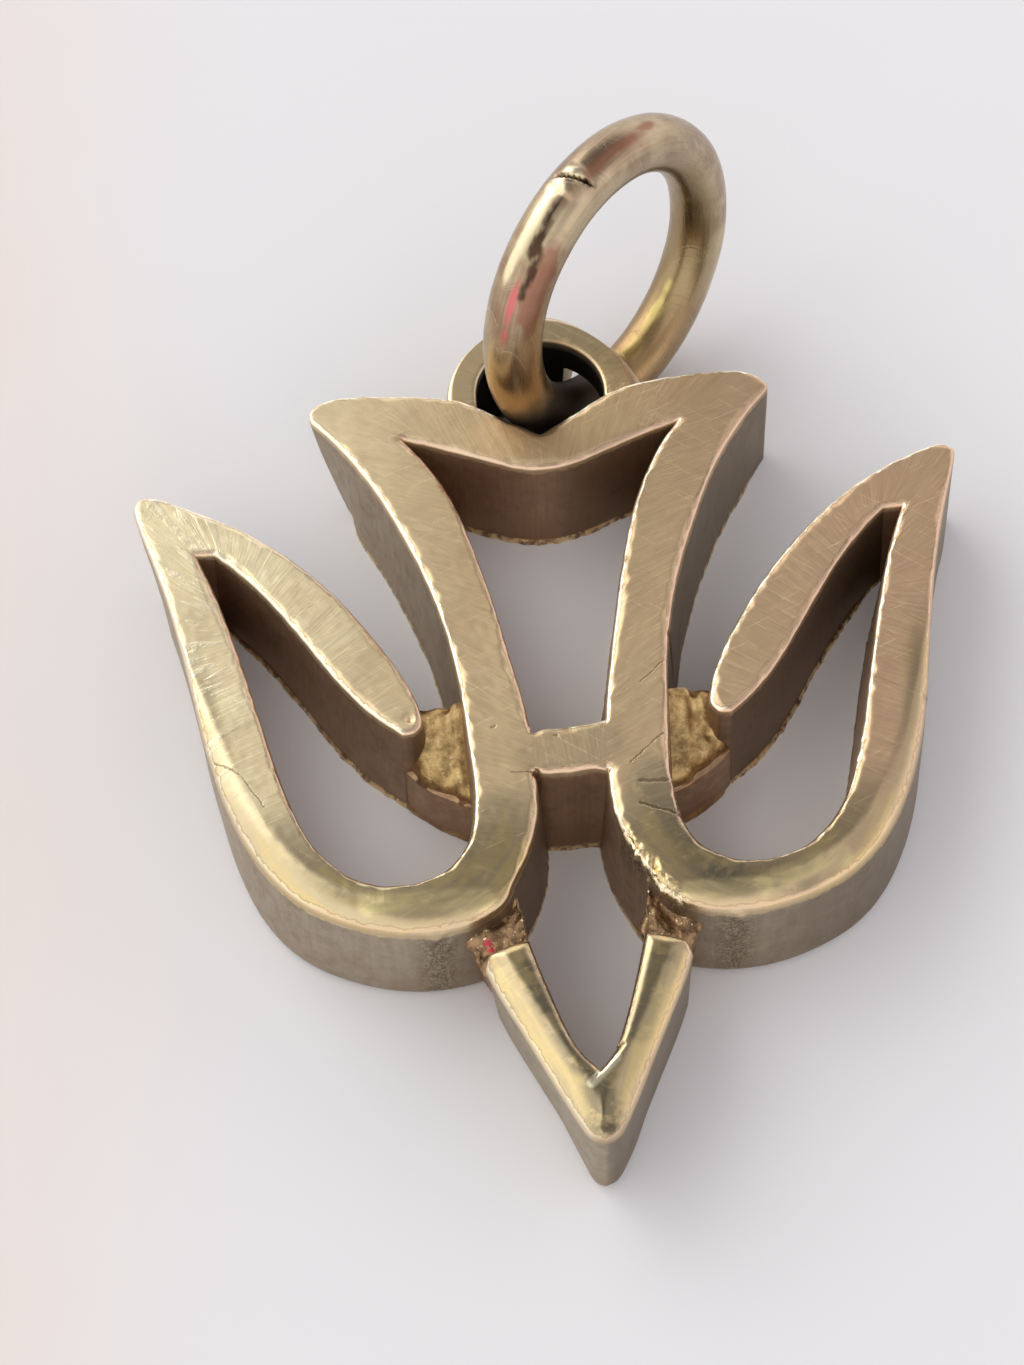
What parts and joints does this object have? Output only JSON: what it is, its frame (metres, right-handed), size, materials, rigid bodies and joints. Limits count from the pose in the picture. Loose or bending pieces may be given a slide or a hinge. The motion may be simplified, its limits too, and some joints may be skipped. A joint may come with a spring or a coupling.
{
  "type": "dove charm",
  "caption": "Openwork pendant in the shape of a flying dove, built of thick flat brass strands, with a flat eyelet on its tail and a round jump ring that swings in it.",
  "frame": {"origin": "middle of the crossbar, on the flat back of the pendant", "axes": "+Y from the beak to the tail and the jump ring, +Z out of the polished front, +X to the right as seen from the front"},
  "size_m": [0.022, 0.0279, 0.0093],
  "materials": {
    "polished_brass": "satin polish with fine file and wear marks, bright on the edges",
    "cast_brass": "rough as cast, darker, with bright grains"
  },
  "bodies": {
    "pendant": {"left_wing": "polished_brass", "right_wing": "polished_brass", "left_vane": "polished_brass", "right_vane": "polished_brass", "left_wing_bridge": "cast_brass", "right_wing_bridge": "cast_brass", "left_beak_bridge": "cast_brass", "right_beak_bridge": "cast_brass", "tail": "polished_brass", "beak": "polished_brass", "crossbar": "polished_brass", "eyelet": "polished_brass"},
    "ring": {"jump_ring": "polished_brass"}
  },
  "joints": [
    {"name": "ring_swing", "type": "hinge", "parent": "pendant", "child": "ring", "pos_m": [0.00153, 0.01267, 0.00259], "axis": [0.7132, -0.6887, 0.1305], "range_deg": [-80, 2]}
  ]
}
